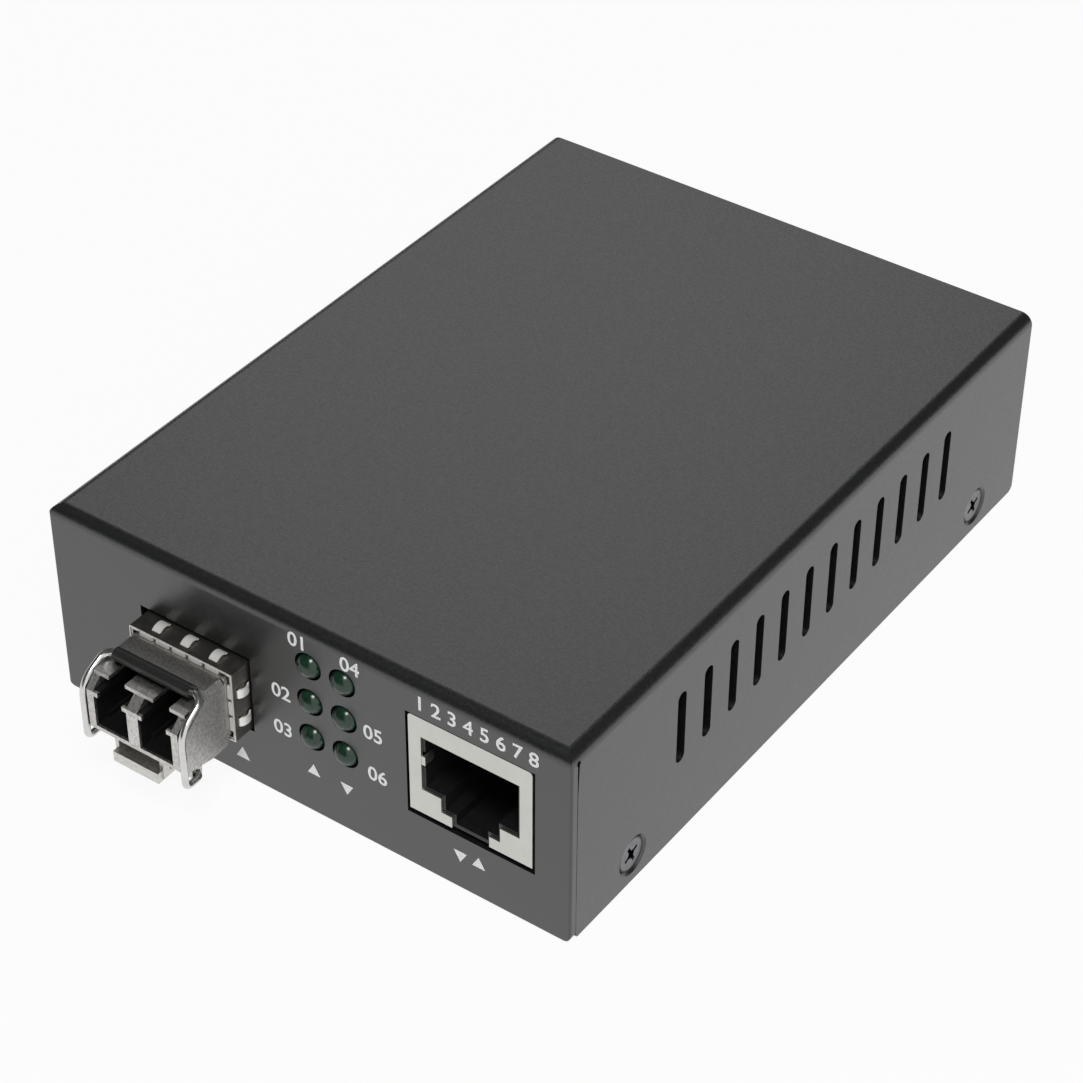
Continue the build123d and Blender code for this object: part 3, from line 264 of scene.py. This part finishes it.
def sprung_tin():
    """Tin plate of the sprung collar: painted dark on the band for the dark panel that it mirrors,
    with a painted highlight on its rim and strips and painted shade in its corners.
    """
    material, tree, shader = new_material("sprung_tin", Roughness=0.42)
    # Painted reflection: the band is a darker tin than the tin elsewhere, for the dark panel that it
    # mirrors
    grained(
        tree, shader, "#83817c", "#989691", pattern(tree, 1.0, 3.0),
        relief=pattern(tree, 0.3), depth=0.004, strength=0.4)
    low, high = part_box("cage_spring_collar")
    strip = bright_strip * MM
    # The band has no painted highlight below or behind, so there its box ends with the case's
    band = inside_box(
        tree,
        (low[0] + strip, low[1] + bright_rim * MM, cad_box[0][2]),
        (high[0] - strip, cad_box[1][1], high[2] - strip))
    painted_highlight = add_node(tree, "ShaderNodeMath", {"operation": "SUBTRACT"}, {0: 1.0, 1: band}).outputs[0]
    # Painted highlight: pale and less metallic on the rim and strips
    paint_over(tree, shader, painted_highlight, "#efeeea")
    # Painted shade in the corners that the occlusion mask finds
    paint_over(tree, shader, corners(tree, 0.3), "#2a2927")
    shine = add_node(tree, "ShaderNodeMapRange", {}, {"Value": painted_highlight, "To Min": 1.0, "To Max": 0.35})
    tree.links.new(shine.outputs["Result"], shader.inputs["Metallic"])
    return material


def plated_casting():
    """Satin nickel over a grained zinc casting, with painted shade in its corners, black inside its
    ports.
    """
    material, tree, shader = new_material("plated_casting", Roughness=0.5)
    skin = pattern(tree, 0.3, 5.0, 0.8)
    grained(
        tree, shader, "#969491", "#eceae7", skin,
        gloss=(0.26, 0.44), depth=0.06, strength=0.8)
    # The black has no end behind, so its box goes as far back as the case's
    left = (module_middle - black_port_half_width) * MM
    right = (module_middle + black_port_half_width) * MM
    front = (nose_face + black_port_setback) * MM
    ports = inside_box(
        tree,
        (left, front, (board_face + black_port_bottom) * MM),
        (right, cad_box[1][1], (board_face + black_port_top) * MM))
    # Painted shade: darker grey in the corners that the occlusion mask finds
    paint_over(tree, shader, corners(tree, 0.6), "#4a4946")
    paint_over(tree, shader, ports, "#131313")
    bare = add_node(tree, "ShaderNodeMath", {"operation": "SUBTRACT"}, {0: 1.0, 1: ports})
    tree.links.new(bare.outputs[0], shader.inputs["Metallic"])
    return material


def gold_flash():
    """Gold over nickel on the contacts, thin and clean."""
    material, tree, shader = new_material("gold_flash", Metallic=1.0, Roughness=0.2)
    grained(tree, shader, "#c8a050", "#dcb868", pattern(tree, 0.5), depth=0.004)
    return material


def dark_moulding(name, dark, light, rough, grain=0.25, depth=0.012):
    """A near-black moulding, with the faint grain that the mould leaves."""
    material, tree, shader = new_material(name, Roughness=rough, IOR=1.53)
    fibre = pattern(tree, grain, 3.0)
    gloss = (rough - 0.06, rough + 0.08)
    grained(tree, shader, dark, light, fibre, gloss=gloss, depth=depth)
    return material


def tinted_epoxy():
    """Green diffused epoxy of an unlit lamp: glossy, with light that spreads a little inside."""
    material, tree, shader = new_material("tinted_epoxy", Roughness=0.2, IOR=1.55)
    shader.inputs["Subsurface Weight"].default_value = 0.35
    shader.inputs["Subsurface Radius"].default_value = (0.4, 1.0, 0.5)
    shader.inputs["Subsurface Scale"].default_value = 0.6 * MM
    grained(tree, shader, "#102a1c", "#183a29", pattern(tree, 0.6))
    return material


def solder_mask():
    """Glass-fibre board under green solder mask, with the weave just showing."""
    material, tree, shader = new_material("solder_mask", Roughness=0.3, IOR=1.5)
    grained(tree, shader, "#0e4a26", "#14582e", pattern(tree, 0.5), depth=0.01, strength=0.4)
    return material


def panel_ink():
    """White screen-printed ink: flat, a little rough, thin enough to take the paint's grain."""
    material, tree, shader = new_material("panel_ink", Roughness=0.6)
    grain = pattern(tree, 0.42, 3.0, 0.6)
    grained(tree, shader, "#f6f7f7", "#ffffff", grain, depth=0.02, strength=0.4)
    return material


finishes = {
    "case_paint": powder_coat(),
    "screw_paint": oxide_and_painted_shade(),
    # Zinc plate: dull and grey
    "zinc": plated_metal(
        "zinc_plate", "#a4a5a6", "#b6b6b4", grain=0.7, smooth=0.3, rough=0.42, depth=0.01),
    # Tin plate: pale and even, in wide soft clouds
    "spring_steel": plated_metal(
        "tin_plate", "#c6c7c1", "#cfd0ca", grain=2.0, smooth=0.34, rough=0.42, depth=0.003),
    # Satin nickel: warmer and darker than the tin
    "cage_steel": plated_metal(
        "satin_nickel", "#b8b6b0", "#c4c2bd", grain=1.5, smooth=0.34, rough=0.42, depth=0.003),
    "die_cast": plated_casting(),
    # Plated sheet of the transceiver: pale, with a fine grain
    "module_sheet": plated_metal(
        "plated_sheet", "#bfbeba", "#dbdad6", grain=0.35, smooth=0.3, rough=0.46, depth=0.015),
    # Nickel wire: drawn smooth, so it has sharp lights
    "wire_steel": plated_metal(
        "nickel_wire", "#cfcfcd", "#dadad8", grain=1.0, smooth=0.2, rough=0.28, depth=0.002),
    # Turned steel of the optics: grey and fairly sharp
    "optic_steel": plated_metal(
        "turned_steel", "#a6a6a6", "#bababa", grain=0.4, smooth=0.2, rough=0.32, depth=0.006),
    # Drawn can of the crystal: a lighter grey, softly clouded
    "can_steel": plated_metal(
        "drawn_can", "#b6b6b6", "#c8c8c8", grain=1.0, smooth=0.22, rough=0.34, depth=0.006),
    "gold_contact": gold_flash(),
    # Glass-filled nylon: near black and satin
    "black_plastic": dark_moulding("moulded_nylon", "#101011", "#18181a", rough=0.42),
    # Sleeve shrunk on the bail: charcoal, with a soft light along it
    "sleeve_plastic": dark_moulding("shrunk_sleeve", "#1c1c1b", "#272726", rough=0.38),
    "lamp_green": tinted_epoxy(),
    "board_green": solder_mask(),
    # Moulded epoxy of the chips: black and dull
    "chip_black": dark_moulding("moulded_epoxy", "#141415", "#1d1d1f", rough=0.5),
    # Capacitor sleeve: blue-black and shiny
    "capacitor_sleeve": dark_moulding("printed_sleeve", "#0e0f14", "#15161c", rough=0.25),
    # Sintered ferrite: dark grey, dull and gritty
    "ferrite": dark_moulding(
        "sintered_ferrite", "#2b2a2a", "#363434", rough=0.6, grain=0.15, depth=0.02),
}
node_finishes = {"cage_spring_collar": sprung_tin()}
for part in frame["record"]["subparts"]:
    finish = node_finishes.get(part["node"], finishes[part["material_slot"]])
    for slot in frame["nodes"][part["node"]].material_slots:
        slot.material = finish


# Printed marks on the front panel: plain numbers and small triangles

marks = bmesh.new()


def print_text(words, x, z):
    """Plain figures on the front panel, centred at x and z."""
    curve = bpy.data.curves.new("figures", "FONT")
    curve.body = words
    curve.size = figure_height / figure_share
    curve.align_x = "CENTER"
    curve.align_y = "CENTER"
    curve.extrude = print_thickness / 2
    curve.offset = stroke_growth
    figures = bpy.data.objects.new("figures", curve)
    bpy.context.collection.objects.link(figures)
    solid = figures.evaluated_get(bpy.context.evaluated_depsgraph_get())
    shape = bpy.data.meshes.new_from_object(solid)
    stand = Matrix.Rotation(math.radians(90), 4, "X")
    place = Matrix.Translation((x, panel_face - print_thickness / 2, z))
    shape.transform(Matrix.Scale(MM, 4) @ place @ stand)
    marks.from_mesh(shape)
    bpy.data.objects.remove(figures)
    bpy.data.meshes.remove(shape)
    bpy.data.curves.remove(curve)


def print_triangle(x, z, side, turn):
    """A small triangle, its point up before it is turned by so many degrees."""
    centre = Matrix.Translation((x * MM, (panel_face - print_thickness) * MM, z * MM))
    stand = Matrix.Rotation(math.radians(turn), 4, "Y") @ Matrix.Rotation(math.radians(90), 4, "X")
    made = bmesh.ops.create_circle(
        marks, cap_ends=True, segments=3, radius=side / math.sqrt(3) * MM, matrix=centre @ stand)
    faces = list({face for corner in made["verts"] for face in corner.link_faces})
    pushed = bmesh.ops.extrude_face_region(marks, geom=faces)
    points = [item for item in pushed["geom"] if isinstance(item, bmesh.types.BMVert)]
    bmesh.ops.translate(marks, verts=points, vec=(0, print_thickness * MM, 0))


for words, x, z in (
    ("01", lamp_columns[0] - 1.3, over_lamps),
    ("04", lamp_columns[1] + 1.1, over_lamps),
    ("02", lamp_columns[0] - 4.0, lamp_rows[1] - 0.7),
    ("03", lamp_columns[0] - 4.0, lamp_rows[2] - 0.9),
    ("05", lamp_columns[1] + 3.9, lamp_rows[1] - 0.2),
    ("06", lamp_columns[1] + 4.3, lamp_rows[2] - 0.9),
    ("1 2 3 4 5 6 7 8", jack_middle + 0.9, over_jack),
):
    print_text(words, x, z)
for x, z, side, turn in (
    (lamp_columns[0], under_lamps, small_triangle, 0),
    (lamp_columns[1], under_lamps, small_triangle, 180),
    (jack_middle - 1.4, under_jack, small_triangle, 180),
    (jack_middle + 1.0, under_jack, small_triangle, 0),
    (module_middle + 5.5, under_module, large_triangle, 0),
    (module_middle - 5.5, under_module, large_triangle, 180),
):
    print_triangle(x, z, side, turn)
bmesh.ops.recalc_face_normals(marks, faces=marks.faces)
print_mesh = bpy.data.meshes.new("front_print")
marks.to_mesh(print_mesh)
marks.free()
print_mesh.materials.append(panel_ink())
front_print = bpy.data.objects.new("front_print", print_mesh)
bpy.context.collection.objects.link(front_print)
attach(front_print, "chassis")


# Floor: white to the camera and in reflections, and still in shadow under the case

def studio_floor():
    """Matt paper, most of it white light wherever the camera, a metal or a glass shows it."""
    material, tree, shader = new_material(
        "studio_floor", Roughness=0.8, Base_Color=linear("#f4f4f4"))
    rays = add_node(tree, "ShaderNodeLightPath", {}, {}).outputs
    seen = rays["Is Camera Ray"]
    for other in ("Is Glossy Ray", "Is Transmission Ray"):
        either = {0: seen, 1: rays[other]}
        seen = add_node(tree, "ShaderNodeMath", {"operation": "MAXIMUM"}, either).outputs[0]
    inputs = {0: seen, 1: floor_whiteness}
    share = add_node(tree, "ShaderNodeMath", {"operation": "MULTIPLY"}, inputs).outputs[0]
    white = add_node(tree, "ShaderNodeEmission", {}, {"Color": (1, 1, 1, 1), "Strength": 1.0})
    layers = {0: share, 1: shader.outputs[0], 2: white.outputs[0]}
    surface = add_node(tree, "ShaderNodeMixShader", {}, layers)
    tree.links.new(surface.outputs[0], tree.nodes["Material Output"].inputs["Surface"])
    return material


floor_shape = bmesh.new()
bmesh.ops.create_grid(floor_shape, x_segments=1, y_segments=1, size=floor_half_width * MM)
bmesh.ops.translate(floor_shape, verts=floor_shape.verts, vec=(0, 0, -floor_drop * MM))
floor_mesh = bpy.data.meshes.new("floor")
floor_shape.to_mesh(floor_mesh)
floor_shape.free()
floor_mesh.materials.append(studio_floor())
floor = bpy.data.objects.new("floor", floor_mesh)
bpy.context.collection.objects.link(floor)


# Light: three softboxes in a dim room

def softbox(name, direction, distance, width, radiance):
    """A square lamp that faces the case, as bright as white paper at a radiance of 1.

    Its direction is seen from the origin, and its distance and width are in metres.
    """
    lamp = bpy.data.lights.new(name, "AREA")
    lamp.shape = "SQUARE"
    lamp.size = width
    lamp.energy = radiance * math.pi * width * width
    holder = bpy.data.objects.new(name, lamp)
    bpy.context.collection.objects.link(holder)
    place = Vector(direction).normalized() * distance
    turn = place.to_track_quat("Z", "Y").to_matrix().to_4x4()
    holder.matrix_world = Matrix.Translation(place) @ turn


# Behind and above: the lid mirrors it to the camera
softbox("softbox_back", (-0.45, 0.63, 0.63), distance=1.2, width=0.7, radiance=0.92)
# High over the front, small and bright
softbox("softbox_key", (0.27, -0.38, 0.88), distance=1.3, width=0.4, radiance=17.0)
# At the front right, wide and dim
softbox("softbox_front", (0.85, -0.5, 0.35), distance=1.3, width=1.8, radiance=0.9)
world = bpy.data.worlds.new("studio")
world.use_nodes = True
background = world.node_tree.nodes["Background"]
background.inputs["Color"].default_value = (room_grey, room_grey, room_grey, 1)
background.inputs["Strength"].default_value = 1.0
bpy.context.scene.world = world


# Camera: found from the straight edges of the case in the photograph

azimuth = math.radians(35.378)
elevation = math.radians(38.882)
roll = math.radians(0.271)
camera_place = Vector((159.775, -228.672, 231.395)) * MM
back = Vector((
    math.sin(azimuth) * math.cos(elevation),
    -math.cos(azimuth) * math.cos(elevation),
    math.sin(elevation)))
level = Vector((math.cos(azimuth), math.sin(azimuth), 0))
upright = back.cross(level)
across = level * math.cos(roll) + upright * math.sin(roll)
upward = -level * math.sin(roll) + upright * math.cos(roll)
lens = bpy.data.cameras.new("camera")
lens.lens = 101.05
lens.sensor_width = 36
lens.clip_start = 0.01
camera = bpy.data.objects.new("camera", lens)
bpy.context.collection.objects.link(camera)
turned = Matrix((across, upward, back)).transposed().to_4x4()
camera.matrix_world = Matrix.Translation(camera_place) @ turned
bpy.context.scene.camera = camera
bpy.context.scene.view_settings.view_transform = "Standard"
